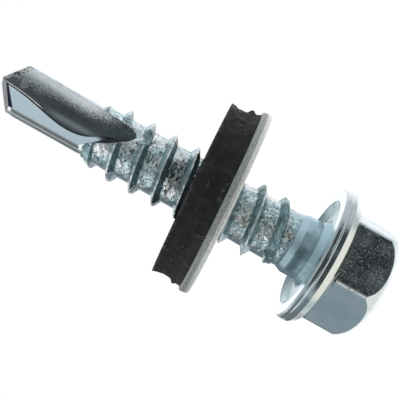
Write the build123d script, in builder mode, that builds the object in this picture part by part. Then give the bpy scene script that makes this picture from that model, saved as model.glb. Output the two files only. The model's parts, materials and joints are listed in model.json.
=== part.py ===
from build123d import *
import math
import os

os.makedirs("parts", exist_ok=True)

# Self-drilling hexagon flange screw with a bonded sealing washer, sizes in mm.
# The screw stands on its head: the end of the head lies on z = 0 around the
# origin, and the drill point is at the top of the Z axis.

# Head: a hexagon with a rounded crown, on a flange with a dished bearing side
head_height = 4.95
across_flats = 7.8
hexagon_round = 0.4
head_turn = 18.5
crown_height = 1.3
crown_mid_diameter = 7.9
crown_mid_height = 0.3
crown_end_diameter = 7.0
flange_diameter = 10.25
flange_rim_height = 0.8
flange_edge_chamfer = 0.12
flange_shoulder_height = 0.45
flange_shoulder_diameter = 9.75
flange_top_height = 0.85
flange_top_diameter = 8.4
dish_diameter = 8.3
dish_wall = 0.3
dish_depth = 0.35

# Neck between the flange and the thread
neck_foot_diameter = 5.2
neck_diameter = 4.55
neck_foot_height = 0.5
neck_cone_height = 0.5
neck_length = 1.7

# Shank and thread: right-handed, narrow crests with wide roots between them
shank_length = 25.0
root_diameter = 4.12
thread_diameter = 5.3
thread_pitch = 1.8
thread_angle = 60.0
crest_width = 0.09
first_crest = 4.6
thread_fade = 2.2
thread_lead_in = 1.6
thread_rooting = 0.2
thread_margin = 0.1

# Drill point: two scooped flutes, two relieved flanks and a short chisel edge
point_diameter = 3.9
point_length = 7.55
point_half_angle = 49.0
chisel_length = 0.6
flank_relief = 6.0
cutting_angle = 218.0
web_thickness = 0.65
facet_distance = 1.07
facet_turn = 10.0
facet_length = 8.95
facet_slant = 39.0
facet_end_round = 0.35
flute_count = 2

# The scoop of a flute is round all along. It widens from the tip to its belly, then
# climbs out of the shank as it narrows. Each row is one round section: its distance
# from the tip, its shift across the point, its rise above the web, and its radius.
scoop_sections = (
    (-1.5, 1.35, 0.0, 0.85),
    (1.5, 1.05, 0.0, 1.28),
    (4.5, 0.75, 0.04, 1.66),
    (7.0, 0.6, 0.24, 1.72),
    (9.5, 1.2, 0.84, 1.3),
    (11.6, 1.75, 1.35, 0.95),
)

# Washer: a steel disc with a rubber ring bonded to the side of the drill point,
# sitting a little askew on the thread
washer_gap = 6.6
washer_tilt = -3.5
washer_diameter = 13.9
washer_thickness = 0.7
washer_edge_chamfer = 0.12
washer_play = 0.25
seal_thickness = 2.2
seal_back_setback = 0.25
seal_front_setback = 0.4
seal_waist = 0.42
seal_play = 0.22

# Heights and radii that follow from the sizes above
bearing_z = head_height
rim_z = bearing_z - flange_rim_height
top_z = rim_z - flange_top_height
dish_z = bearing_z - dish_depth
neck_z = bearing_z + neck_length
tip_z = bearing_z + shank_length
point_z = tip_z - point_length

flange_radius = flange_diameter / 2
washer_radius = washer_diameter / 2
corner_radius = across_flats / math.sqrt(3)
root_radius = root_diameter / 2
thread_radius = thread_diameter / 2
point_radius = point_diameter / 2
point_slope = 1 / math.tan(math.radians(point_half_angle))
cone_tip_z = tip_z + chisel_length / 2 * point_slope

# The cutters of the flutes run well past the point, and their outer sides lie in the open
cutter_overrun = 2 * point_radius
cutter_reach = 2 * thread_radius
die_reach = point_length + 2 * cutter_overrun

# The hexagon is a prism kept inside a turned crown, which rounds its corners off
with BuildPart() as hexagon:
    with BuildSketch() as outline:
        RegularPolygon(across_flats / 2, 6, major_radius=False, rotation=head_turn)
        fillet(outline.vertices(), hexagon_round)
    extrude(amount=rim_z)
    with BuildSketch(Plane.XZ):
        with BuildLine():
            Line((0, 0), (crown_end_diameter / 2, 0))
            ThreePointArc(
                (crown_end_diameter / 2, 0),
                (crown_mid_diameter / 2, crown_mid_height),
                (corner_radius, crown_height),
            )
            Polyline((corner_radius, crown_height), (corner_radius, rim_z), (0, rim_z), (0, 0))
        make_face()
    revolve(axis=Axis.Z, mode=Mode.INTERSECT)

# The thread ridge is wound round the shank, then kept inside a turned envelope
# that lets it fade out at the neck and start gently at the drill point
ridge_turns = math.ceil((point_z - first_crest) / thread_pitch) + 1
ridge_foot_radius = root_radius - thread_rooting
ridge_half_foot = (
    crest_width / 2
    + (thread_radius - ridge_foot_radius) * math.tan(math.radians(thread_angle / 2))
)
with BuildPart() as ridge:
    with BuildLine() as winding:
        Helix(thread_pitch, ridge_turns * thread_pitch, root_radius, center=(0, 0, first_crest))
    with BuildSketch(Plane.XZ):
        with BuildLine():
            Polyline(
                (ridge_foot_radius, first_crest - ridge_half_foot),
                (thread_radius, first_crest - crest_width / 2),
                (thread_radius, first_crest + crest_width / 2),
                (ridge_foot_radius, first_crest + ridge_half_foot),
                close=True,
            )
        make_face()
    sweep(path=winding.wire(), is_frenet=True)
    with BuildSketch(Plane.XZ):
        with BuildLine():
            Polyline(
                (0, neck_z),
                (root_radius, neck_z),
                (thread_radius + thread_margin, neck_z + thread_fade),
                (thread_radius + thread_margin, point_z - thread_lead_in),
                (root_radius, point_z),
                (0, point_z),
                close=True,
            )
        make_face()
    revolve(axis=Axis.Z, mode=Mode.INTERSECT)

# The scoop of a flute is lofted through its round sections
with BuildPart() as scoop:
    for distance, shift, rise, radius in scoop_sections:
        with BuildSketch(Plane.XY.offset(tip_z - distance)):
            with Locations((shift, -web_thickness / 2 - rise - radius)):
                Circle(radius)
    loft()

# On its leading side lies a flat facet, ended by the slanting edge of the forming die.
# The side of its cutter that meets the scoop leans outwards at 45 degrees.
facet_slope = math.tan(math.radians(facet_turn))
facet_y = -facet_distance / math.cos(math.radians(facet_turn))
slant = math.radians(facet_slant)
die_plane = Plane(
    origin=(0, 0, tip_z - facet_length),
    x_dir=(0, -1, 0),
    z_dir=(math.sin(slant), 0, -math.cos(slant)),
)
with BuildPart() as facet:
    with BuildSketch(Plane.XY.offset(point_z - cutter_overrun)):
        Polygon(
            (0, facet_y),
            (-cutter_reach, facet_y - cutter_reach * facet_slope),
            (-cutter_reach, facet_y - cutter_reach),
            (cutter_reach, facet_y - cutter_reach),
            align=None,
        )
    extrude(amount=die_reach)
    with BuildSketch(die_plane):
        with BuildLine():
            Polyline((0, -die_reach), (0, -facet_end_round), (facet_distance, -facet_end_round))
            RadiusArc(
                (facet_distance, -facet_end_round),
                (facet_distance + facet_end_round, 0),
                facet_end_round,
            )
            Polyline(
                (facet_distance + facet_end_round, 0),
                (die_reach, 0),
                (die_reach, -die_reach),
                (0, -die_reach),
            )
        make_face()
    extrude(amount=die_reach, both=True, mode=Mode.INTERSECT)

# The screw: turned flange, neck, shank and point, joined to the hexagon and the
# thread, then cut by the flutes and by the two flanks that meet in the chisel edge
with BuildPart() as screw:
    with BuildSketch(Plane.XZ) as turned:
        Polygon(
            (0, top_z),
            (flange_top_diameter / 2, top_z),
            (flange_shoulder_diameter / 2, rim_z - flange_shoulder_height),
            (flange_radius, rim_z),
            (flange_radius, bearing_z),
            (dish_diameter / 2, bearing_z),
            (dish_diameter / 2 - dish_wall, dish_z),
            (neck_foot_diameter / 2, dish_z),
            (neck_diameter / 2, dish_z + neck_foot_height),
            (neck_diameter / 2, neck_z - neck_cone_height),
            (root_radius, neck_z),
            (root_radius, point_z),
            (point_radius, point_z),
            (point_radius, cone_tip_z - point_radius * point_slope),
            (0, cone_tip_z),
            align=None,
        )
        rim_corners = turned.vertices().group_by(Axis.X)[-1]
        chamfer(rim_corners.sort_by(Axis.Y)[-1], flange_edge_chamfer)
    revolve(axis=Axis.Z)
    add(hexagon.part)
    add(ridge.part)
    with PolarLocations(0, flute_count):
        add(scoop.part, mode=Mode.SUBTRACT)
        add(facet.part, mode=Mode.SUBTRACT)
    for number in range(flute_count):
        edge_angle = cutting_angle + number * 360 / flute_count
        flank = Vector(point_slope, math.tan(math.radians(flank_relief)), 1)
        split(
            bisect_by=Plane(origin=(0, 0, tip_z), z_dir=flank.rotate(Axis.Z, edge_angle)),
            keep=Keep.BOTTOM,
        )

# Both pieces of the washer are drawn from a plane through the middle of the rubber,
# tipped about the Y axis
seal_middle = washer_thickness + seal_thickness / 2
middle_plane = Plane.XY.offset(bearing_z + washer_gap + seal_middle)
plate_plane = middle_plane.rotated((0, washer_tilt, 0)).offset(-seal_middle)

# The steel disc of the washer
with BuildPart() as washer_plate:
    with BuildSketch(plate_plane):
        Circle(washer_radius)
        Circle(thread_radius + washer_play, mode=Mode.SUBTRACT)
    extrude(amount=washer_thickness)
    rim_edges = washer_plate.edges().filter_by(GeomType.CIRCLE).group_by(SortBy.RADIUS)[-1]
    chamfer(rim_edges, washer_edge_chamfer)

# The rubber ring, with a waisted rim as punched rubber has
seal_back = washer_thickness
seal_front = washer_thickness + seal_thickness
seal_back_radius = washer_radius - seal_back_setback
seal_front_radius = washer_radius - seal_front_setback
profile_plane = Plane(origin=plate_plane.origin, x_dir=plate_plane.x_dir, z_dir=-plate_plane.y_dir)
with BuildPart() as washer_seal:
    with BuildSketch(profile_plane):
        with BuildLine():
            Polyline(
                (seal_back_radius, seal_back),
                (thread_radius + seal_play, seal_back),
                (thread_radius + seal_play, seal_front),
                (seal_front_radius, seal_front),
            )
            Bezier(
                (seal_front_radius, seal_front),
                (seal_front_radius - seal_waist, (seal_back + seal_front) / 2),
                (seal_back_radius, seal_back),
            )
        make_face()
    revolve(axis=Axis(plate_plane.origin, plate_plane.z_dir))

screw.part.label = "screw"
export_step(screw.part, "parts/screw.step")
washer_plate.part.label = "washer_plate"
export_step(washer_plate.part, "parts/washer_plate.step")
washer_seal.part.label = "washer_seal"
export_step(washer_seal.part, "parts/washer_seal.step")
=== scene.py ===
# %% [markdown]
# # A self-drilling screw with a bonded washer
# The screw stands on the end of its hexagon head, with the drill point at the top. The camera is turned on
# its side, so that the screw lies across the picture. This first cell loads the imported solids. Nothing
# that is added later may make the object bigger. Blender counts in metres. The screw's own sizes are named
# in millimetres, and MM turns them into metres. The studio's are in metres.

# %% Load the solids
import json
import math
from collections import namedtuple

import bpy
from mathutils import Matrix, Vector, noise


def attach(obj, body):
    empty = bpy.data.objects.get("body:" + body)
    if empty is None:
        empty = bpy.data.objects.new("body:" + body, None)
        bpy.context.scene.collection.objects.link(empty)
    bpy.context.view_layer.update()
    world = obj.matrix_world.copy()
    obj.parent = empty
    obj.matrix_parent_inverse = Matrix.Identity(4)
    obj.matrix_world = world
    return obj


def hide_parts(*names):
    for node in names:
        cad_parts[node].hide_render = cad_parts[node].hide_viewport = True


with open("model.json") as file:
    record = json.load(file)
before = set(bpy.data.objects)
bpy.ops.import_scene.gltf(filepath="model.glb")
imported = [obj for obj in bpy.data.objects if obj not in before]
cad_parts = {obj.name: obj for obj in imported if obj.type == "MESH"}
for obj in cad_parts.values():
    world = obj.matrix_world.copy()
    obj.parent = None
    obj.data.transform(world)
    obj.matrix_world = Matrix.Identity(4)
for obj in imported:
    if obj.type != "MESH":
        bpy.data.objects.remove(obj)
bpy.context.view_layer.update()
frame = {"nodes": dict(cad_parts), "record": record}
MM = 0.001
print("pieces of the frame:", sorted(frame["nodes"]))

# %% [markdown]
# ## Colours
# A zinc-plated screw has hardly any colour of its own: blue passivation tints the plating a little, and what
# makes it look dark or bright is what it reflects. The colours below are those of the plating, the rubber and
# the washer's steel in white light. Several of them are painted on as light and shade as well: the dark ones
# as painted shade and dark reflections, the cream, white and pale ones as painted highlights and reflections.

# %% Name the colours
PLATING_PALE = (0.80, 0.85, 0.87, 1)
PLATING_TEAL = (0.40, 0.58, 0.65, 1)
# Cream: the plating's own, and also painted on as sheen, glints and warm reflections.
CREAM_PLATING_AND_SHEEN = (0.86, 0.88, 0.83, 1)
DEEP_TEAL = (0.08, 0.15, 0.17, 1)
FLANK_TEAL = (0.42, 0.60, 0.63, 1)
ROOT_TEAL = (0.66, 0.84, 0.88, 1)
NECK_TEAL = (0.52, 0.72, 0.80, 1)
FACET_BLUE = (0.74, 0.84, 0.92, 1)
SCOOP_GREY = (0.11, 0.12, 0.125, 1)
SCOOP_PALE = (0.93, 0.97, 1.0, 1)
STREAK_GREY = (0.34, 0.38, 0.40, 1)
LIP_PURPLE = (0.035, 0.035, 0.055, 1)
DISH_BLUE = (0.42, 0.52, 0.55, 1)
# Soot-dark marks, and also painted shade and dark reflections.
SOOT_AND_SHADE = (0.04, 0.05, 0.05, 1)
RUBBER_BLACK = (0.006, 0.0058, 0.0056, 1)
RUBBER_DUST = (0.16, 0.16, 0.155, 1)
DISC_GREY = (0.90, 0.90, 0.88, 1)
FLOOR_GREY = (0.9, 0.9, 0.9, 1)
WHITE = (1, 1, 1, 1)

# %% [markdown]
# ## Helpers for the shader nodes
# Every finish here is a network of small nodes. The first helper adds a node, and sets or links its inputs by
# name or number. Each of the others stands for one kind of node and hands on its output, so that the looks
# further down read as sums of masks and colours.

# %% Add a node
def set_inputs(tree, node, inputs):
    """Sets a node's inputs, or links them where the value is the output of another node."""
    for name, value in inputs.items():
        if isinstance(value, bpy.types.NodeSocket):
            tree.links.new(value, node.inputs[name])
        else:
            node.inputs[name].default_value = value


def add(tree, kind, inputs=None, **settings):
    """Adds a node, sets its properties and then its inputs."""
    new = tree.nodes.new(kind)
    for name, value in settings.items():
        setattr(new, name, value)
    set_inputs(tree, new, inputs or {})
    return new


# %% Calculate
def sums(tree, operation, first, second=0.0, third=0.0):
    """One step of arithmetic on up to three numbers."""
    inputs = {0: first, 1: second, 2: third}
    return add(tree, "ShaderNodeMath", inputs, operation=operation).outputs[0]


def flip(tree, mask):
    """1 where a mask is 0, and 0 where it is 1."""
    return sums(tree, "SUBTRACT", 1.0, mask)


def dot(tree, vector, direction):
    """How far a vector reaches along a direction."""
    inputs = {0: vector, 1: direction}
    return add(tree, "ShaderNodeVectorMath", inputs, operation="DOT_PRODUCT").outputs["Value"]


def ramp(tree, value, start, end, low=0.0, high=1.0):
    """Turns a value that runs from start to end into one that runs smoothly from low to high."""
    inputs = {"Value": value, "From Min": start, "From Max": end, "To Min": low, "To Max": high}
    return add(tree, "ShaderNodeMapRange", inputs, interpolation_type="SMOOTHSTEP").outputs["Result"]


def fall(tree, value, start, end):
    """1 up to the start, 0 from the end on."""
    return ramp(tree, value, start, end, 1.0, 0.0)


# %% Mix
def mix(tree, share, first, second):
    """Mixes two colours by a share from 0 to 1."""
    inputs = {0: share, 6: first, 7: second}
    return add(tree, "ShaderNodeMix", inputs, data_type="RGBA").outputs[2]


def join(tree, share, first, second):
    """Mixes two numbers by a share from 0 to 1."""
    inputs = {0: share, 2: first, 3: second}
    return add(tree, "ShaderNodeMix", inputs, data_type="FLOAT").outputs[0]


def both(tree, first, *others):
    """The product of several masks."""
    for other in others:
        first = sums(tree, "MULTIPLY", first, other)
    return first


def paint(tree, under, over, *masks):
    """Lays one colour over another where the product of the masks is 1."""
    return mix(tree, both(tree, *masks), under, over)


# %% Start a material and give it its bumps
def new_finish(name, inputs):
    """A material whose only shader is the Principled BSDF, returned with its tree and its shader."""
    finish = bpy.data.materials.new(name)
    finish.use_nodes = True
    tree = finish.node_tree
    shader = tree.nodes["Principled BSDF"]
    set_inputs(tree, shader, inputs)
    return finish, tree, shader


def bumps(tree, height, strength, distance):
    """The normal of a surface whose height changes by this distance."""
    inputs = {"Height": height, "Strength": strength, "Distance": distance}
    return add(tree, "ShaderNodeBump", inputs).outputs["Normal"]


# %% [markdown]
# ## Effects that several finishes share
# Grain is fine speckle that roughens a surface, as on pressed or rolled metal. It is a node group, built once
# and placed in each material with its own scale. Objects are in metres, so the group works in millimetres.

# %% Build the grain group
NUMBER = "NodeSocketFloat"
VECTOR = "NodeSocketVector"


def new_group(name, inputs, outputs):
    """A node group with its sockets, each given by its name and its kind."""
    group = bpy.data.node_groups.new(name, "ShaderNodeTree")
    for in_out, sockets in (("INPUT", inputs), ("OUTPUT", outputs)):
        for label, kind in sockets.items():
            group.interface.new_socket(label, in_out=in_out, socket_type=kind)
    return group


def use_group(tree, group, inputs=None):
    """Places a node group in a material."""
    return add(tree, "ShaderNodeGroup", inputs, node_tree=group)


def build_grain():
    """Speckle: a mask that is 0 in most places and 1 on the grains."""
    inputs = {"Vector": VECTOR, "Grains per mm": NUMBER, "Threshold": NUMBER, "Softness": NUMBER}
    group = new_group("grain", inputs, {"Mask": NUMBER})
    given = add(group, "NodeGroupInput").outputs
    pattern = add(group, "ShaderNodeTexNoise", {
        "Vector": given["Vector"],
        "Scale": given["Grains per mm"],
        "Detail": 3.0,
        "Roughness": 0.6,
    })
    low = sums(group, "SUBTRACT", given["Threshold"], given["Softness"])
    high = sums(group, "ADD", given["Threshold"], given["Softness"])
    add(group, "NodeGroupOutput", {"Mask": ramp(group, pattern.outputs["Fac"], low, high)})
    return group


grain = build_grain()
print("shared effects:", [group.name for group in bpy.data.node_groups])


# %% [markdown]
# ## Where a point lies on the screw
# The screw is one solid with one material, but its zones look different. Separate materials could only change
# from face to face, and many zones end within a face, so masks find them by their place instead. For that, a
# second group works out where a point lies, in millimetres: its height above the head's end, its distance
# from the axis, and three measures for the drill point. The two flutes are alike after half a turn, so "Side"
# runs from the leading side of a flute to its trailing side on both. "Depth" is the distance from the plane
# through the axis that lies parallel to both facets, so that a facet is all at one depth.

# %% Build the place group
TIP = 29.95
FACET_TURN = math.radians(10)


def build_place():
    """Object coordinates in millimetres, and the measures that follow from them."""
    outputs = {"Point": VECTOR, "Facing": VECTOR}
    for label in ("Height", "Radius", "From tip", "Side", "Depth"):
        outputs[label] = NUMBER
    group = new_group("place on the screw", {}, outputs)
    where = add(group, "ShaderNodeTexCoord")
    inputs = {0: where.outputs["Object"], "Scale": 1 / MM}
    point = add(group, "ShaderNodeVectorMath", inputs, operation="SCALE").outputs[0]
    parts = add(group, "ShaderNodeSeparateXYZ", {0: point}).outputs
    flat = add(group, "ShaderNodeCombineXYZ", {"X": parts["X"], "Y": parts["Y"]}).outputs[0]
    length = add(group, "ShaderNodeVectorMath", {0: flat}, operation="LENGTH").outputs["Value"]
    flute = sums(group, "SIGN", parts["Y"])
    across_facets = (math.sin(FACET_TURN), -math.cos(FACET_TURN), 0)
    add(group, "NodeGroupOutput", {
        "Point": point,
        "Facing": where.outputs["Normal"],
        "Height": parts["Z"],
        "Radius": length,
        "From tip": sums(group, "SUBTRACT", TIP, parts["Z"]),
        "Side": sums(group, "MULTIPLY", sums(group, "MULTIPLY", parts["X"], flute), -1.0),
        "Depth": sums(group, "ABSOLUTE", dot(group, point, across_facets)),
    })
    return group


place = build_place()
print("measures of a point:", [socket.name for socket in place.interface.items_tree])


# %% [markdown]
# ## Masks
# A zone is a stretch of one of those measures. A band is 1 between two values and 0 outside them, and zones
# that need two measures are the product of two bands. Noise breaks them up: clouds, specks, and squiggles,
# which are the lines where distorted noise passes its middle value.

# %% Make masks from bands and directions
def band(tree, value, start, end, soft=0.03):
    """1 where a value lies between start and end, 0 elsewhere."""
    rise = ramp(tree, value, start - soft, start + soft)
    return both(tree, rise, fall(tree, value, end - soft, end + soft))


def round_spot(tree, first, first_middle, second, second_middle, radius):
    """A soft round spot where two measures are near their middles."""
    off = sums(tree, "ABSOLUTE", sums(tree, "SUBTRACT", first, first_middle))
    other = sums(tree, "ABSOLUTE", sums(tree, "SUBTRACT", second, second_middle))
    squares = sums(tree, "MULTIPLY_ADD", off, off, sums(tree, "MULTIPLY", other, other))
    return fall(tree, sums(tree, "SQRT", squares), 0.4 * radius, radius)


def facing(tree, where, direction):
    """How much a surface faces a direction, from -1 to 1."""
    return dot(tree, where.outputs["Facing"], direction)


def way_round(angle):
    """The level direction at an angle round the screw."""
    return (math.cos(angle), math.sin(angle), 0)


# %% Make masks from noise
def cloud(tree, where, scale, detail=2.0):
    """Noise of so many waves per millimetre."""
    inputs = {"Vector": where.outputs["Point"], "Scale": scale, "Detail": detail}
    return add(tree, "ShaderNodeTexNoise", inputs).outputs["Fac"]


def speckle(tree, vector, per_mm, threshold, softness):
    """The grain group's grains, on coordinates in millimetres."""
    inputs = {"Vector": vector, "Grains per mm": per_mm, "Threshold": threshold, "Softness": softness}
    return use_group(tree, grain, inputs).outputs["Mask"]


def specks(tree, where, per_mm, threshold, softness):
    """Grains that are as long as they are wide."""
    return speckle(tree, where.outputs["Point"], per_mm, threshold, softness)


def squiggle(tree, where, scale, width):
    """Curly lines, where distorted noise passes its middle value."""
    inputs = {"Vector": where.outputs["Point"], "Scale": scale, "Detail": 2.0, "Distortion": 1.2}
    level = add(tree, "ShaderNodeTexNoise", inputs).outputs["Fac"]
    off = sums(tree, "ABSOLUTE", sums(tree, "SUBTRACT", level, 0.5))
    return fall(tree, off, 0.3 * width, width)


# %% [markdown]
# ## The plating and its looks
# The whole screw wears one zinc plating. Each part of it gets its own look: a colour, a relief in
# millimetres, a roughness and a wear. The relief becomes a bump, so the plating sparkles where it is grainy.
# Worn places are less metallic, so they are matt instead of mirroring the room.

# %% Start the plating
Look = namedtuple("Look", "colour relief roughness wear")


def blend(tree, share, first, second):
    """Passes from one look to another by a share from 0 to 1."""
    return Look(
        mix(tree, share, first.colour, second.colour),
        join(tree, share, first.relief, second.relief),
        join(tree, share, first.roughness, second.roughness),
        join(tree, share, first.wear, second.wear),
    )


zinc, zinc_tree, zinc_shader = new_finish("zinc plating", {})
on_screw = use_group(zinc_tree, place)
print("started:", zinc.name)


# %% [markdown]
# ### The hexagon
# The hexagon was pressed in a die. One of its faces came out grainy, and it is painted dark as the dark
# reflection that it shows. The edge beside that face is painted bright as a highlight and is made matt like
# wear, and the others are smooth with a few small dents. The hexagon is all that lies below a height, and a
# face or an edge is found by the way that it faces.

# %% Work out the look of the hexagon
HEXAGON_TOP = 3.3
GRAINY_FACE = math.radians(288.5)
WORN_HIGHLIGHT_EDGE = math.radians(258.5)
PIT_RELIEF = 0.008
DENT_RELIEF = -0.03


def hexagon_look(tree, where):
    """The plating of the head, with the marks of the hexagon on it."""
    tint = ramp(tree, cloud(tree, where, 0.6), 0.4, 0.7, 0.0, 0.25)
    colour = mix(tree, tint, PLATING_PALE, PLATING_TEAL)
    on_hexagon = fall(tree, where.outputs["Height"], HEXAGON_TOP - 0.02, HEXAGON_TOP + 0.02)

    to_grainy = facing(tree, where, way_round(GRAINY_FACE))
    on_grainy = both(tree, on_hexagon, ramp(tree, to_grainy, 0.985, 0.995))
    grains = specks(tree, where, 11.0, 0.6, 0.08)
    # The grainy face is painted dark over its grain: a painted dark reflection.
    blotches = ramp(tree, cloud(tree, where, 0.9, 4.0), 0.35, 0.65, 0.88, 0.72)
    grain_and_dark_reflection = ramp(tree, sums(tree, "MULTIPLY_ADD", grains, -0.4, blotches), 0.0, 1.0)
    colour = paint(tree, colour, SOOT_AND_SHADE, on_grainy, grain_and_dark_reflection)

    dents = both(tree, on_hexagon, specks(tree, where, 2.2, 0.655, 0.02))
    colour = paint(tree, colour, SOOT_AND_SHADE, dents, 0.55)

    # The edge beside it is painted white as a painted highlight, and it also counts as wear, so it is matt.
    to_edge = facing(tree, where, way_round(WORN_HIGHLIGHT_EDGE))
    patches = ramp(tree, cloud(tree, where, 4.0), 0.4, 0.5)
    worn_highlight = both(tree, on_hexagon, ramp(tree, to_edge, 0.985, 0.993), patches)
    colour = paint(tree, colour, WHITE, worn_highlight, 0.6)

    relief = sums(tree, "ADD", both(tree, on_grainy, grains, PIT_RELIEF), both(tree, dents, DENT_RELIEF))
    roughness = sums(tree, "MULTIPLY_ADD", on_hexagon, 0.12, 0.2)
    roughness = sums(tree, "MULTIPLY_ADD", on_grainy, 0.15, roughness)
    return Look(colour, relief, roughness, worn_highlight)


head = hexagon_look(zinc_tree, on_screw)
print("nodes with the hexagon:", len(zinc_tree.nodes))


# %% [markdown]
# ### The flange
# The flange has a shoulder that is painted cream as a warm reflection, and that is speckled darker where it
# meets the hexagon, as scuffs and as painted shade in that corner. Its rim is painted a little darker as a
# dark reflection and has a fine rolled line round it, and a bluish dish on its bearing side has a line of
# painted shade round its edge.

# %% Work out the look of the flange
RIM_START = 4.15
RIM_RADII = (4.9, 5.0)
FLANGE_FACE = 4.95
DISH_RADIUS = 4.15
ROLLED_LINE = (4.5, 4.6)
SCUFF_AND_SHADE_HEIGHT = 0.35


def beyond_rim(tree, where):
    """1 on the bearing side of the flange and on all that stands on it."""
    return ramp(tree, where.outputs["Height"], FLANGE_FACE - 0.5, FLANGE_FACE - 0.4)


def flange_look(tree, where, under):
    """Lays the shoulder, the rim and the dish over the look of the head."""
    height, radius = where.outputs["Height"], where.outputs["Radius"]
    # The rim is painted a little darker: a painted dark reflection.
    far_out = ramp(tree, radius, *RIM_RADII)
    high_up = ramp(tree, height, RIM_START - 0.05, RIM_START + 0.05)
    colour = paint(tree, under.colour, SOOT_AND_SHADE, far_out, high_up, 0.2)

    # The shoulder is painted cream: a painted warm reflection.
    on_shoulder = band(tree, height, HEXAGON_TOP, RIM_START, 0.02)
    colour = paint(tree, colour, CREAM_PLATING_AND_SHEEN, on_shoulder, 0.6)
    # Speckled darker next to the hexagon: scuffs, and painted shade in that corner.
    at_hexagon = band(tree, height, HEXAGON_TOP, HEXAGON_TOP + SCUFF_AND_SHADE_HEIGHT, 0.06)
    scuffs_and_shade = ramp(tree, specks(tree, where, 7.0, 0.5, 0.12), 0.0, 1.0, 0.6, 0.15)
    colour = paint(tree, colour, SOOT_AND_SHADE, at_hexagon, scuffs_and_shade)

    on_face = beyond_rim(tree, where)
    in_dish = fall(tree, radius, DISH_RADIUS - 0.04, DISH_RADIUS)
    colour = paint(tree, colour, DISH_BLUE, on_face, in_dish)
    # A line of painted shade round the edge of the dish.
    dish_edge_shade = band(tree, radius, DISH_RADIUS - 0.06, DISH_RADIUS + 0.02, 0.02)
    colour = paint(tree, colour, SOOT_AND_SHADE, on_face, dish_edge_shade, 0.5)

    relief = sums(tree, "MULTIPLY_ADD", band(tree, height, *ROLLED_LINE, 0.05), 0.02, under.relief)
    relief = sums(tree, "MULTIPLY_ADD", cloud(tree, where, 1.6), 0.02, relief)
    return under._replace(colour=colour, relief=relief)


head = flange_look(zinc_tree, on_screw, head)
print("nodes with the flange:", len(zinc_tree.nodes))


# %% [markdown]
# ### The neck
# The neck is smooth, wavy and bluish. It is painted darker towards its lower side as shade, and it has one
# painted dark spot, a painted dark reflection.

# %% Work out the look of the neck
NECK_FOOT_RADIUS = 2.6
DARK_SPOT_WAY = (-0.515, -0.857, 0)
DARK_SPOT_HEIGHTS = (5.4, 6.2)
NECK_WAVES = 0.12


def neck_look(tree, where, under):
    """Lays the neck over the look of the head."""
    slender = fall(tree, where.outputs["Radius"], NECK_FOOT_RADIUS, NECK_FOOT_RADIUS + 0.15)
    on_neck = both(tree, beyond_rim(tree, where), slender)
    # A painted dark reflection on one side, and painted shade on the lower side.
    dark_spot_side = ramp(tree, facing(tree, where, DARK_SPOT_WAY), 0.75, 0.98)
    dark_spot_height = band(tree, where.outputs["Height"], *DARK_SPOT_HEIGHTS, 0.4)
    shade = ramp(tree, facing(tree, where, (1, 0, 0)), -0.9, 0.5, 0.45, 0.0)
    painted_dark = sums(tree, "MAXIMUM", both(tree, dark_spot_side, dark_spot_height, 0.85), shade)
    colour = mix(tree, on_neck, under.colour, mix(tree, painted_dark, NECK_TEAL, DEEP_TEAL))
    return Look(
        colour,
        sums(tree, "ADD", under.relief, both(tree, on_neck, cloud(tree, where, 0.8), NECK_WAVES)),
        sums(tree, "MULTIPLY_ADD", on_neck, 0.12, under.roughness),
        sums(tree, "MAXIMUM", under.wear, sums(tree, "MULTIPLY", on_neck, 0.4)),
    )


head = neck_look(zinc_tree, on_screw, head)
print("nodes with the neck:", len(zinc_tree.nodes))


# %% [markdown]
# ### The thread
# The thread was rolled between dies. Its flanks are a mottled teal, and those that face the head are painted
# darker as shade, most of all beyond the washer, as are the feet of the flanks. Its crest is painted pale as
# a bright line, a painted highlight. The roots between the crests are paler, and the next cells wrinkle them.

# %% Work out the look of the thread's flanks and crests
ROOT_RADIUS = 2.06
CREST_RADIUS = 2.65
DARKER_FROM = 9.0
DARKEST_FROM = 15.0


def on_roots(tree, where):
    """1 in the roots between the crests."""
    return fall(tree, where.outputs["Radius"], ROOT_RADIUS + 0.02, ROOT_RADIUS + 0.1)


def thread_look(tree, where):
    """The look of the flanks and the crests, over the plain colour of the roots."""
    radius = where.outputs["Radius"]
    colour = mix(tree, ramp(tree, cloud(tree, where, 0.8), 0.35, 0.55), WHITE, ROOT_TEAL)
    on_flank = flip(tree, on_roots(tree, where))
    mottled = ramp(tree, cloud(tree, where, 1.1, 4.0), 0.42, 0.62, 0.0, 0.7)
    colour = mix(tree, on_flank, colour, mix(tree, mottled, FLANK_TEAL, DEEP_TEAL))
    # Flanks that face the head get painted shade, more of it higher up.
    headward = ramp(tree, facing(tree, where, (0, 0, -1)), 0.1, 0.5)
    darkened = ramp(tree, where.outputs["Height"], DARKER_FROM, DARKEST_FROM, 0.3, 0.75)
    colour = paint(tree, colour, DEEP_TEAL, on_flank, headward, darkened)
    # Painted shade along the foot of each flank.
    on_foot = band(tree, radius, ROOT_RADIUS + 0.03, ROOT_RADIUS + 0.1, 0.03)
    colour = paint(tree, colour, DEEP_TEAL, on_foot, 0.6)
    # The crest is painted pale: a painted highlight.
    on_crest = ramp(tree, radius, CREST_RADIUS - 0.1, CREST_RADIUS - 0.03)
    colour = paint(tree, colour, PLATING_PALE, on_crest, 0.9)
    return Look(colour, 0.0, 0.22, join(tree, on_flank, 0.25, 0.3))


thread = thread_look(zinc_tree, on_screw)
print("nodes with the thread:", len(zinc_tree.nodes))


# %% [markdown]
# ### The roots of the thread
# The skin of the roots is wrinkled like scribbles. In two ragged strips half a turn apart, on the sides that
# face the Y axis, it is grainy and partly matt, and carries painted glints. The side that is the lower one in
# the picture is painted darker as shade, and painted shade lies beside the washer, on the side of the drill
# point.

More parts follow.
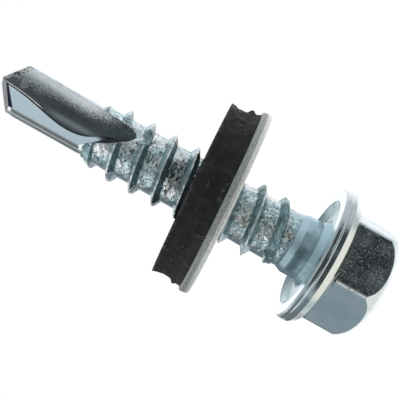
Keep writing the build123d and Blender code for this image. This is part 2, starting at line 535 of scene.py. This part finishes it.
# %% Make the masks of the roots
def wrinkle_mask(tree, where):
    """Scribbles: bold lines, and finer and fainter ones between them."""
    bold_places = ramp(tree, cloud(tree, where, 2.6), 0.46, 0.52)
    bold = both(tree, bold_places, squiggle(tree, where, 1.5, 0.025))
    fine_places = ramp(tree, cloud(tree, where, 1.5), 0.48, 0.54)
    fine = both(tree, fine_places, squiggle(tree, where, 2.8, 0.03), 0.45)
    return sums(tree, "MAXIMUM", bold, fine)


def glint_strip_mask(tree, where):
    """The two ragged strips that carry painted glints, on the sides that face the Y axis both ways."""
    to_seam = sums(tree, "ABSOLUTE", facing(tree, where, (0, 1, 0)))
    ragged = sums(tree, "SUBTRACT", cloud(tree, where, 1.2, 4.0), 0.5)
    return ramp(tree, sums(tree, "MULTIPLY_ADD", ragged, 0.5, to_seam), 0.92, 1.02)


def glitter_mask(tree, where):
    """Grains that are drawn out round the screw."""
    inputs = {0: where.outputs["Point"], 1: (0.55, 0.55, 1.3)}
    drawn_out = add(tree, "ShaderNodeVectorMath", inputs, operation="MULTIPLY").outputs[0]
    return speckle(tree, drawn_out, 6.5, 0.5, 0.07)


# %% Work out the look of the roots
WASHER_SHADE_FROM_TIP = 14.2
WASHER_SHADE_SIDE = 0.2
WASHER_SHADE_RADIUS = 1.5


def root_look(tree, where, under):
    """Lays the wrinkles, the painted glints, and the painted shade below and beside the washer over the
    thread.
    """
    on_root = on_roots(tree, where)
    wrinkles = both(tree, on_root, wrinkle_mask(tree, where))
    colour = paint(tree, under.colour, SOOT_AND_SHADE, wrinkles, 0.9)
    # Painted glints in two strips on the sides that face the Y axis.
    glint_strip = both(tree, on_root, glint_strip_mask(tree, where))
    glitter = glitter_mask(tree, where)
    colour = paint(tree, colour, mix(tree, glitter, SOOT_AND_SHADE, CREAM_PLATING_AND_SHEEN), glint_strip, 0.6)
    # Painted shade on the lower side of the roots.
    below = ramp(tree, facing(tree, where, (1, 0, 0)), -1.0, -0.4, 0.5, 0.0)
    colour = paint(tree, colour, DEEP_TEAL, on_root, below)
    # Painted shade beside the washer.
    from_tip, side = where.outputs["From tip"], where.outputs["Side"]
    painted_dark = round_spot(tree, from_tip, WASHER_SHADE_FROM_TIP, side, WASHER_SHADE_SIDE, WASHER_SHADE_RADIUS)
    colour = paint(tree, colour, SOOT_AND_SHADE, on_root, painted_dark, ramp(tree, glitter, 0.0, 1.0, 0.9, 0.45))

    relief = sums(tree, "ADD", both(tree, wrinkles, -0.03), both(tree, glint_strip, glitter, 0.04))
    relief = sums(tree, "MULTIPLY_ADD", cloud(tree, where, 1.1, 3.0), 0.35, relief)
    wear = join(tree, glint_strip, under.wear, sums(tree, "MULTIPLY", glitter, 0.8))
    return under._replace(colour=colour, relief=relief, wear=wear)


thread = root_look(zinc_tree, on_screw, thread)
print("nodes with the roots:", len(zinc_tree.nodes))


# %% [markdown]
# ### The drill point
# The drill point was pinched between dies, which left two flutes in it, each a round scoop beside a flat
# facet. Both lie inside the round of the point, and a facet is all at one depth, so masks of those
# measures find them.

# %% Find the flutes
SCOOP_END = 11.4
POINT_START = 22.4
POINT_RADIUS = 1.95
FACET_DISTANCE = 1.07


def flute_mask(tree, where):
    """1 in the scoops and on the facets."""
    reach = fall(tree, where.outputs["From tip"], SCOOP_END - 0.1, SCOOP_END + 0.1)
    sunk = fall(tree, where.outputs["Radius"], POINT_RADIUS - 0.06, POINT_RADIUS - 0.02)
    return both(tree, reach, sunk)


def facet_mask(tree, where, in_flute):
    """1 on the facets, which end where the scoop climbs out of the shank."""
    side = where.outputs["Side"]
    at_depth = band(tree, where.outputs["Depth"], FACET_DISTANCE, FACET_DISTANCE, 0.03)
    on_facet = both(tree, in_flute, at_depth, fall(tree, side, 0.5, 0.6))
    past_end = both(tree, ramp(tree, where.outputs["From tip"], 7.6, 8.0), ramp(tree, side, -0.4, -0.1))
    return both(tree, ramp(tree, on_facet, 0.1, 0.2), flip(tree, past_end))


Flutes = namedtuple("Flutes", "inside facets scoops grains")


def find_flutes(tree, where):
    """The masks of the flutes and of the two parts of each, and the grains of their skin."""
    inside = flute_mask(tree, where)
    facets = facet_mask(tree, where, inside)
    scoops = sums(tree, "SUBTRACT", inside, both(tree, inside, facets))
    return Flutes(inside, facets, scoops, specks(tree, where, 10.0, 0.5, 0.14))


flutes = find_flutes(zinc_tree, on_screw)
print("nodes with the masks of the flutes:", len(zinc_tree.nodes))


# %% [markdown]
# The scoops came out grainy. They are painted dark as the shade and dark reflection in them, and darker still
# towards their far end. Their floor is painted pale towards the trailing edge, and a lighter streak is
# painted along the deepest part, both as painted reflections. Two small scuffs lie near the tip.

# %% Work out the skin of the scoops
PALE_SIDES = (0.2, 1.6)
PALE_FROM_TIP = (6.0, 9.5)
STREAK_SIDES = (-0.5, -0.15)
STREAK_FROM_TIP = (4.2, 7.6)
SCUFF_SIZE = 0.4
SCUFFS = (
    # distance from the tip, place across the flute, strength
    (1.67, 0.45, 0.25),
    (2.75, 0.57, 0.12),
)


def scoop_skin(tree, where, scoops, grains):
    """A scoop's floor: painted dark, and painted pale as a reflection on its slightly worn trailing side."""
    from_tip, side = where.outputs["From tip"], where.outputs["Side"]
    # The floor is painted dark as shade and dark reflection, and pale on its trailing side as a painted
    # reflection.
    trailing = both(tree, ramp(tree, side, *PALE_SIDES), ramp(tree, from_tip, *PALE_FROM_TIP, 1.0, 0.2))
    contrast = both(tree, flip(tree, trailing), sums(tree, "ADD", trailing, 0.12), 1.5)
    level = sums(tree, "MULTIPLY_ADD", sums(tree, "SUBTRACT", grains, 0.5), contrast, trailing)
    colour = mix(tree, ramp(tree, level, 0.0, 1.05), SCOOP_GREY, SCOOP_PALE)
    colour = paint(tree, colour, SOOT_AND_SHADE, ramp(tree, from_tip, 7.0, 10.5, 0.0, 0.5))
    # A painted reflection along the deepest part.
    streak = both(tree, band(tree, side, *STREAK_SIDES, 0.22), band(tree, from_tip, *STREAK_FROM_TIP, 0.9))
    colour = paint(tree, colour, STREAK_GREY, streak, 0.8)
    for distance, place_across, strength in SCUFFS:
        scuff = round_spot(tree, from_tip, distance, side, place_across, SCUFF_SIZE)
        speckled = ramp(tree, grains, 0.0, 1.0, 0.6, 1.0)
        colour = paint(tree, colour, CREAM_PLATING_AND_SHEEN, scuff, speckled, strength)
    return Look(
        colour,
        both(tree, scoops, grains, 0.012),
        sums(tree, "MULTIPLY_ADD", scoops, 0.08, 0.2),
        sums(tree, "MULTIPLY", trailing, 0.2),
    )


scoop = scoop_skin(zinc_tree, on_screw, flutes.scoops, flutes.grains)
print("nodes with the scoops:", len(zinc_tree.nodes))


# %% [markdown]
# A scoop has edges of its own: a speckled burr along the cutting edge at the tip, a crease on the side of the
# facet that is painted bright as a highlight, and a dark line between the crease and the facet.

# %% Work out the edges of the scoops
BURR_SLOPE = -0.869
CREASE_DEPTHS = (0.84, 0.9)
CREASE_FROM_TIP = (0.5, 3.6)


def scoop_edges(tree, where, under):
    """Lays the burr, the crease's painted highlight, which also counts as wear, and the dark edge over a
    scoop.
    """
    from_tip, side, depth = (where.outputs[label] for label in ("From tip", "Side", "Depth"))
    burr_line = sums(tree, "MULTIPLY_ADD", side, BURR_SLOPE, from_tip)
    burr = both(tree, ramp(tree, side, 0.2, 0.4), fall(tree, burr_line, 0.1, 0.3))
    burr_colour = mix(tree, specks(tree, where, 5.0, 0.5, 0.1), SOOT_AND_SHADE, CREAM_PLATING_AND_SHEEN)
    colour = paint(tree, under.colour, burr_colour, burr, 0.8)
    in_crease = band(tree, depth, *CREASE_DEPTHS, 0.03)
    crease_length = band(tree, from_tip, *CREASE_FROM_TIP, 0.3)
    crease = both(tree, in_crease, crease_length, fall(tree, side, 0.5, 0.7))
    # The crease is painted white: a painted highlight.
    colour = paint(tree, colour, WHITE, crease)
    beyond_crease = ramp(tree, depth, CREASE_DEPTHS[1], CREASE_DEPTHS[1] + 0.05)
    edge = both(tree, beyond_crease, fall(tree, side, 0.3, 0.6), fall(tree, from_tip, 7.2, 7.8))
    colour = paint(tree, colour, SOOT_AND_SHADE, edge, 0.8)
    return under._replace(colour=colour, wear=sums(tree, "MAXIMUM", crease, under.wear))


scoop = scoop_edges(zinc_tree, on_screw, scoop)
print("nodes with the scoops' edges:", len(zinc_tree.nodes))


# %% [markdown]
# The facets came out as smooth as the dies. A dark lip runs along the cutting edge of each, and the two
# flanks at the tip are dark too. The land below each facet has two dark streaks, which are painted dark
# reflections. The lip is where the facet comes near the flank, which slopes, so its place is a sum of the
# distance from the tip and the side.

# %% Work out the look of the point
LIP_SLOPE = 0.857
LIP_WIDTH = (0.82, 0.87)
FLANK_END = 2.6
LAND_FROM_TIP = (1.9, 7.3)
LAND_STREAKS = (
    # place across the point from start to end, strength
    (-1.65, -1.42, 0.9),
    (-1.95, -1.8, 0.8),
)


def darken_tip(tree, where, flutes, colour):
    """Lays the dark lips and flanks over the point's colour, and returns the mask of the flanks too."""
    from_tip, side = where.outputs["From tip"], where.outputs["Side"]
    lip_line = sums(tree, "MULTIPLY_ADD", side, LIP_SLOPE, from_tip)
    colour = paint(tree, colour, LIP_PURPLE, flutes.facets, fall(tree, lip_line, *LIP_WIDTH))
    upward = ramp(tree, facing(tree, where, (0, 0, 1)), 0.5, 0.65)
    on_flank = both(tree, upward, fall(tree, from_tip, FLANK_END, FLANK_END + 0.2))
    speckled = ramp(tree, flutes.grains, 0.0, 1.0, 0.95, 0.5)
    return paint(tree, colour, LIP_PURPLE, on_flank, speckled), on_flank


def streak_land(tree, where, on_land, colour):
    """Lays the streaks, painted dark reflections, over the land below each facet."""
    for start, end, strength in LAND_STREAKS:
        # Painted dark reflections along the land.
        streak = band(tree, where.outputs["Side"], start, end)
        colour = paint(tree, colour, SOOT_AND_SHADE, on_land, streak, strength)
    return colour


def point_look(tree, where, flutes, scoop, thread_colour):
    """The look of the point with its flutes, and the mask of where they are."""
    on_point = ramp(tree, where.outputs["Height"], POINT_START - 0.02, POINT_START + 0.02)
    outside = mix(tree, on_point, thread_colour, PLATING_PALE)
    colour = mix(tree, flutes.inside, outside, scoop.colour)
    colour = mix(tree, flutes.facets, colour, FACET_BLUE)
    colour, on_flank = darken_tip(tree, where, flutes, colour)
    land_length = band(tree, where.outputs["From tip"], *LAND_FROM_TIP, 0.1)
    on_land = both(tree, on_point, land_length, flip(tree, flutes.inside))
    colour = streak_land(tree, where, on_land, colour)
    flank_wear = sums(tree, "MULTIPLY", on_flank, 0.7)
    wear = sums(tree, "MAXIMUM", both(tree, flutes.scoops, scoop.wear), flank_wear)
    covered = ramp(tree, sums(tree, "ADD", flutes.inside, on_point), 0.4, 0.6)
    return scoop._replace(colour=colour, wear=wear), covered


point, at_point = point_look(zinc_tree, on_screw, flutes, scoop, thread.colour)
print("nodes with the point:", len(zinc_tree.nodes))


# %% [markdown]
# ### The three looks together
# The head, the thread and the point pass into each other by height, and the flutes are laid over the thread
# where they cut into it.

# %% Finish the plating
NECK_END = 6.65


def dress(node, finish):
    """Gives a piece of the frame one finish."""
    for slot in frame["nodes"][node].material_slots:
        slot.material = finish


past_neck = ramp(zinc_tree, on_screw.outputs["Height"], NECK_END - 0.1, NECK_END + 0.2)
plating = blend(zinc_tree, past_neck, head, thread)
plating = blend(zinc_tree, at_point, plating, point)
set_inputs(zinc_tree, zinc_shader, {
    "Base Color": plating.colour,
    "Roughness": plating.roughness,
    "Metallic": flip(zinc_tree, plating.wear),
    "Normal": bumps(zinc_tree, plating.relief, 1.0, MM),
})
dress("screw", zinc)
print("the screw wears:", zinc.name, "with", len(zinc_tree.nodes), "nodes")


# %% [markdown]
# ## Where a point lies on the washer
# The washer sits a little askew on the thread. Its middle plane is tipped about the Y axis, so a distance
# along the washer's own axis is the dot product of a point with the direction of that axis.

# %% Name the washer's sizes
WASHER_TILT = math.radians(-3.5)
WASHER_AXIS = Vector((math.sin(WASHER_TILT), 0, math.cos(WASHER_TILT)))
SEAL_MIDDLE = Vector((0, 0, 13.35))
SEAL_THICKNESS = 2.2
SEAL_BORE_RADIUS = 2.87
SEAL_FRONT_RADIUS = 6.55
SEAL_BACK_RADIUS = 6.7
SEAL_BACK = SEAL_MIDDLE.dot(WASHER_AXIS) - SEAL_THICKNESS / 2
SEAL_FRONT = SEAL_MIDDLE.dot(WASHER_AXIS) + SEAL_THICKNESS / 2
seal_mount = next(mount for mount in frame["record"]["mounts"] if mount["name"] == "seal_front")
print("washer axis", [round(part, 4) for part in WASHER_AXIS], "record says", seal_mount["axis"])


# %% [markdown]
# ## The torn rim of the rubber
# The ring was punched out of a sheet, and the rubber tore as it parted: the rim is hollow and ragged, with
# shreds that stand out. A clean solid can't show that, so the ring is modelled again. A square is cut fine
# enough for the tears and moved onto the ring's section, only its outline is kept, and that is spun about
# the axis. Then the rim is drawn in to its hollow, and two scales of noise tear it.

# %% Spin the ring
RING_STEPS = 360
SECTION_CUTS = 17
SLACK = 0.001


def on_section_edge(spot):
    """True for a point on the outline of the ring's section."""
    at_bore = abs(spot.x - SEAL_BORE_RADIUS * MM) < SLACK * MM
    at_rim = abs(spot.x - SEAL_FRONT_RADIUS * MM) < SLACK * MM
    at_face = abs(abs(spot.z) - SEAL_THICKNESS / 2 * MM) < SLACK * MM
    return at_bore or at_rim or at_face


def add_section():
    """Adds a square, cuts it fine and moves it onto the ring's section, as points and edges alone."""
    bpy.ops.object.select_all(action="DESELECT")
    bpy.ops.mesh.primitive_plane_add(size=1)
    section = bpy.context.object
    bpy.ops.object.mode_set(mode="EDIT")
    bpy.ops.mesh.select_all(action="SELECT")
    bpy.ops.mesh.subdivide(number_cuts=SECTION_CUTS)
    bpy.ops.mesh.delete(type="ONLY_FACE")
    bpy.ops.object.mode_set(mode="OBJECT")
    width = SEAL_FRONT_RADIUS - SEAL_BORE_RADIUS
    for vertex in section.data.vertices:
        across, along = vertex.co.x, vertex.co.y
        vertex.co = Vector((SEAL_BORE_RADIUS + (across + 0.5) * width, 0, along * SEAL_THICKNESS)) * MM
    return section


def keep_outline(section):
    """Deletes the points inside the section."""
    for vertex in section.data.vertices:
        vertex.select = not on_section_edge(vertex.co)
    bpy.ops.object.mode_set(mode="EDIT")
    bpy.ops.mesh.delete(type="VERT")
    bpy.ops.object.mode_set(mode="OBJECT")


def spin_round():
    """Spins the outline of the section into a closed ring about the Z axis."""
    bpy.ops.object.mode_set(mode="EDIT")
    bpy.ops.mesh.select_all(action="SELECT")
    bpy.ops.mesh.spin(steps=RING_STEPS, angle=math.tau, center=(0, 0, 0), axis=(0, 0, 1))
    bpy.ops.mesh.select_all(action="SELECT")
    bpy.ops.mesh.remove_doubles(threshold=SLACK * MM)
    bpy.ops.mesh.normals_make_consistent(inside=False)
    bpy.ops.object.mode_set(mode="OBJECT")


rubber_ring = add_section()
rubber_ring.name = "rubber_ring"
keep_outline(rubber_ring)
print("points on the outline of the section:", len(rubber_ring.data.vertices))
spin_round()
print("faces of the ring:", len(rubber_ring.data.polygons))

# %% Tear the rim
RIM_HOLLOW = 0.24
TEAR_DEPTH = 0.16
TEARS_PER_MM = 1.1
TEARS_ROUND = 9
TEARS_ACROSS = 3
SHRED_DEPTH = 0.07
SHREDS_PER_MM = 5.0
TUFT_LENGTH = 0.5
TUFTS = (
    # angle round the ring in degrees, place across the rim from -1 at the front to 1 at the disc, height,
    # width across the rim
    (-8, 0.35, 0.34, 0.15),
    (2, 0.78, -0.16, 0.2),
    (172, -0.1, 0.2, 0.2),
    (184, 0.5, 0.26, 0.18),
)


def torn_by_noise(spot, angle, inner):
    """How far the noise moves the rim outwards at a spot, less near the two edges of the rim."""
    coarse = noise.noise(spot * TEARS_PER_MM) * 0.6
    coarse += noise.noise(Vector((angle * TEARS_ROUND, 0, spot.z * TEARS_ACROSS))) * 0.4
    fine = noise.noise(spot * SHREDS_PER_MM)
    return (TEAR_DEPTH * coarse + SHRED_DEPTH * fine) * min(1, 0.25 + 1.6 * inner)


def add_tufts(tear, reach, angle, across):
    """The tear at a spot with the tufts, and the one notch among them, added to it."""
    for tuft_angle, place_across, height, width in TUFTS:
        turned = (angle - math.radians(tuft_angle) + math.pi) % math.tau - math.pi
        off = (turned * reach / TUFT_LENGTH) ** 2 + ((across - place_across) / width) ** 2
        tear += height * math.exp(-off)
    return tear


def tear_rim(ring):
    """Hollows the rim and tears it."""
    for vertex in ring.data.vertices:
        spot = vertex.co / MM
        reach = math.hypot(spot.x, spot.y)
        if reach < SEAL_FRONT_RADIUS - 0.01:
            continue
        across = -spot.z / (SEAL_THICKNESS / 2)
        angle = math.atan2(spot.y, spot.x)
        cone = (SEAL_BACK_RADIUS - SEAL_FRONT_RADIUS) * (across + 1) / 2
        inner = 1 - across ** 2
        tear = add_tufts(torn_by_noise(spot, angle, inner), reach, angle, across)
        new_reach = min(reach + cone - RIM_HOLLOW * inner + tear, SEAL_BACK_RADIUS + 0.02)
        vertex.co.x *= new_reach / reach
        vertex.co.y *= new_reach / reach


tear_rim(rubber_ring)
widest = max(vertex.co.to_2d().length for vertex in rubber_ring.data.vertices)
print("widest reach of the rim in mm:", round(widest / MM, 3))

# %% [markdown]
# The ring was made round the Z axis. Its mesh is now tipped and lifted to the washer's askew place, and the
# object itself stays at the origin. It moves with the washer and stands in for the plain ring.

# %% Put the ring in its place
to_washer = Matrix.Translation(SEAL_MIDDLE * MM) @ Matrix.Rotation(WASHER_TILT, 4, "Y")
rubber_ring.data.transform(to_washer)
bpy.ops.object.shade_smooth_by_angle(angle=math.radians(50))
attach(rubber_ring, "washer")
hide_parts("washer_seal")
print("rubber ring:", len(rubber_ring.data.polygons), "faces")


# %% [markdown]
# ## The finishes of the washer
# The disc is stamped sheet. Its edge shows how it was punched: a grainy sheared band beside a brighter smooth
# one. The rubber is matt and torn, with haze, a few pale specks of dust, fine hair lines, and fraying along
# the front edge that is painted pale as a highlight too.

# %% Make the washer's steel
SHEARED_WIDTH = 0.42


def along_washer(tree, where):
    """How far a point lies along the washer's axis."""
    return dot(tree, where.outputs["Point"], WASHER_AXIS)


def make_disc_steel():
    """Sheet steel with a punched edge."""
    finish, tree, shader = new_finish("washer sheet", {"Metallic": 0.6})
    where = use_group(tree, place)
    shear_start = SEAL_BACK - SHEARED_WIDTH
    sheared = ramp(tree, along_washer(tree, where), shear_start, shear_start + 0.06)
    grains = specks(tree, where, 9.0, 0.5, 0.12)
    dark = sums(tree, "MULTIPLY_ADD", grains, 0.25, sums(tree, "MULTIPLY", sheared, 0.45))
    set_inputs(tree, shader, {
        "Base Color": mix(tree, dark, DISC_GREY, SOOT_AND_SHADE),
        "Roughness": sums(tree, "MULTIPLY_ADD", sheared, 0.15, 0.35),
        "Normal": bumps(tree, grains, 0.5, 0.02 * MM),
    })
    return finish


disc_steel = make_disc_steel()
dress("washer_plate", disc_steel)
print("the disc wears:", disc_steel.name)

# %% Make the rubber
FRAY_AND_SHEEN_DEPTH = 0.3


def fray_and_sheen_mask(tree, where):
    """1 in ragged places along the front edge of the rim, where fraying and a highlight are painted pale."""
    near_front = ramp(tree, along_washer(tree, where), SEAL_FRONT - FRAY_AND_SHEEN_DEPTH, SEAL_FRONT)
    near_rim = ramp(tree, where.outputs["Radius"], SEAL_FRONT_RADIUS - 0.4, SEAL_FRONT_RADIUS - 0.2)
    return both(tree, near_front, near_rim, ramp(tree, cloud(tree, where, 3.0), 0.4, 0.6))


def make_rubber():
    """Black rubber."""
    finish, tree, shader = new_finish("seal rubber", {"Roughness": 0.7})
    where = use_group(tree, place)
    haze = ramp(tree, cloud(tree, where, 1.3, 4.0), 0.45, 0.75, 0.0, 0.08)
    lined_places = ramp(tree, cloud(tree, where, 0.8), 0.48, 0.58)
    hair_lines = both(tree, lined_places, squiggle(tree, where, 0.5, 0.012))
    pale = sums(tree, "MULTIPLY_ADD", hair_lines, 0.45, haze)
    # Fraying along the front edge, painted pale as a highlight too.
    pale = sums(tree, "MULTIPLY_ADD", fray_and_sheen_mask(tree, where), 0.3, pale)
    pale = sums(tree, "MULTIPLY_ADD", specks(tree, where, 4.5, 0.7, 0.04), 0.6, pale)
    set_inputs(tree, shader, {
        "Base Color": mix(tree, pale, RUBBER_BLACK, RUBBER_DUST),
        "Normal": bumps(tree, cloud(tree, where, 4.0, 5.0), 0.5, 0.12 * MM),
    })
    return finish


rubber = make_rubber()
rubber_ring.data.materials.append(rubber)
print("the ring wears:", rubber.name)

# %% [markdown]
# ## The studio
# Metal shows its surroundings, so the studio is part of the finish. The world is white to the camera. To
# reflections it is a room: a white patch behind the screw is the backdrop, a warm white one under it is the
# floor, and soft boxes and dark gaps lie between them. White all round would leave the metal no shape. A
# picture of a real studio could stand there instead, but each patch can be moved until it shows in the metal
# where the photograph has it. To the rest, which is light that lands on the screw, the world is even.

# %% Light the studio
ROOM = (0.46, 0.53, 0.56, 1)
SOFT_BOX = (1.15, 1.17, 1.2, 1)
SIDE_BOX = (0.72, 0.75, 0.78, 1)
WARM_BOX = (0.9, 0.89, 0.82, 1)
TEAL_CEILING = (0.36, 0.48, 0.53, 1)
GREY_WALL = (0.18, 0.25, 0.29, 1)
PLAIN_WALL = (0.19, 0.22, 0.23, 1)
DARK_GAP = (0.05, 0.06, 0.065, 1)
POINT_LIGHT = (0.62, 0.68, 0.69, 1)
EVEN_LIGHT = (0.62, 0.62, 0.62, 1)
PATCHES = (
    # direction, angle in degrees up to which the patch is full, angle at which it ends, colour
    ((0, 1, 0), 45, 75, SOFT_BOX),
    ((0.9, 0.1, 0.3), 20, 50, SIDE_BOX),
    ((0.31, 0.94, -0.2), 20, 40, SOFT_BOX),
    ((0, 0, 1), 20, 42, TEAL_CEILING),
    ((0, -0.3, -0.95), 35, 50, WARM_BOX),
    ((-0.85, -0.45, 0.35), 15, 35, SOFT_BOX),
    ((-0.97, -0.14, -0.2), 12, 24, GREY_WALL),
    ((-0.78, 0.62, -0.1), 22, 38, PLAIN_WALL),
    ((-0.92, 0.1, 0.36), 15, 28, SOFT_BOX),
    ((0.03, -0.93, 0.35), 12, 30, DARK_GAP),
    ((0, -0.98, -0.2), 10, 26, DARK_GAP),
    ((-0.5, -0.85, -0.15), 2, 28, DARK_GAP),
    ((0.63, -0.75, -0.24), 14, 26, DARK_GAP),
    ((0.36, -0.89, 0.27), 7, 14, POINT_LIGHT),
)


def add_patch(tree, under, direction, full, end, colour):
    """Lays a soft round patch of light or dark over the world's colour."""
    where = add(tree, "ShaderNodeTexCoord")
    reach = dot(tree, where.outputs["Generated"], Vector(direction).normalized())
    share = ramp(tree, reach, math.cos(math.radians(end)), math.cos(math.radians(full)))
    return mix(tree, share, under, colour)


def seen_straight(tree, rays):
    """1 for what the camera sees, straight or through glass."""
    return sums(tree, "MAXIMUM", rays.outputs["Is Camera Ray"], rays.outputs["Is Transmission Ray"])


world = bpy.data.worlds.new("studio")
world.use_nodes = True
bpy.context.scene.world = world
sky = world.node_tree
room = add(sky, "ShaderNodeRGB")
room.outputs[0].default_value = ROOM
surroundings = room.outputs[0]
for patch in PATCHES:
    surroundings = add_patch(sky, surroundings, *patch)
sky_rays = add(sky, "ShaderNodeLightPath")
to_metal = mix(sky, sky_rays.outputs["Is Glossy Ray"], EVEN_LIGHT, surroundings)
seen = mix(sky, seen_straight(sky, sky_rays), to_metal, WHITE)
set_inputs(sky, sky.nodes["Background"], {"Color": seen})
print("patches in the room:", len(PATCHES))

# %% [markdown]
# ## Floor and lamp
# The floor is plain, it glows white to the camera, and it keeps the screw's shadow. Reflections don't see it,
# because the warm patch of the room stands for it there. One soft box hangs above the screw, to one side.

# %% Lay the floor
FLOOR_SIZE = 0.6
FLOOR_GLOW = 0.6


def make_floor_white():
    """White to the camera, with the shadow of the screw on it."""
    inputs = {"Base Color": FLOOR_GREY, "Roughness": 0.9, "Emission Color": WHITE}
    finish, tree, shader = new_finish("floor white", inputs)
    straight = seen_straight(tree, add(tree, "ShaderNodeLightPath"))
    set_inputs(tree, shader, {"Emission Strength": sums(tree, "MULTIPLY", straight, FLOOR_GLOW)})
    return finish


bpy.ops.object.select_all(action="DESELECT")
bpy.ops.mesh.primitive_plane_add(size=FLOOR_SIZE, location=(0, 0, 0))
floor = bpy.context.object
floor.name = "floor"
floor.data.materials.append(make_floor_white())
floor.visible_glossy = False
print("floor in mm:", round(FLOOR_SIZE / MM))

# %% Hang the lamp
LAMP_SPOT = Vector((0.12, -0.02, 0.11))
LAMP_AIM = Vector((0, 0, 0.012))
LAMP_SIZE = 0.12
LAMP_POWER = 0.05

lamp_data = bpy.data.lights.new("soft box", "AREA")
lamp_data.shape = "RECTANGLE"
lamp_data.size = LAMP_SIZE
lamp_data.size_y = LAMP_SIZE
lamp_data.energy = LAMP_POWER
lamp = bpy.data.objects.new("soft box", lamp_data)
bpy.context.collection.objects.link(lamp)
lamp.location = LAMP_SPOT
lamp.rotation_euler = (LAMP_AIM - LAMP_SPOT).to_track_quat("-Z", "Y").to_euler()
lamp.visible_glossy = False
print("lamp to screw in mm:", round((LAMP_AIM - LAMP_SPOT).length / MM))

# %% [markdown]
# ## The camera
# The photograph was taken level with the middle of the screw, from close by, so the picture has strong
# perspective. The camera looks along +Y and is rolled until the axis runs from the lower right to the upper
# left. A lens of so many pixels is one that needs that distance for a picture as many pixels wide.

# %% Place the camera
CAMERA_SPOT = Vector((-0.589, -47.3, 13.53)) * MM
CAMERA_ROLL = math.radians(29.2)
FOCAL_PIXELS = 665
PICTURE_PIXELS = 400
SENSOR_WIDTH = 36

rightward = Vector((math.sin(CAMERA_ROLL), 0, -math.cos(CAMERA_ROLL)))
upward = Vector((math.cos(CAMERA_ROLL), 0, math.sin(CAMERA_ROLL)))
turn = Matrix((rightward, upward, rightward.cross(upward))).transposed().to_4x4()
camera_data = bpy.data.cameras.new("camera")
camera_data.sensor_width = SENSOR_WIDTH
camera_data.lens = SENSOR_WIDTH * FOCAL_PIXELS / PICTURE_PIXELS
camera_data.clip_start = 1 * MM
camera = bpy.data.objects.new("camera", camera_data)
bpy.context.collection.objects.link(camera)
camera.matrix_world = Matrix.Translation(CAMERA_SPOT) @ turn
bpy.context.scene.camera = camera
bpy.context.scene.view_settings.view_transform = "Standard"
print("lens in mm:", round(camera_data.lens, 2))
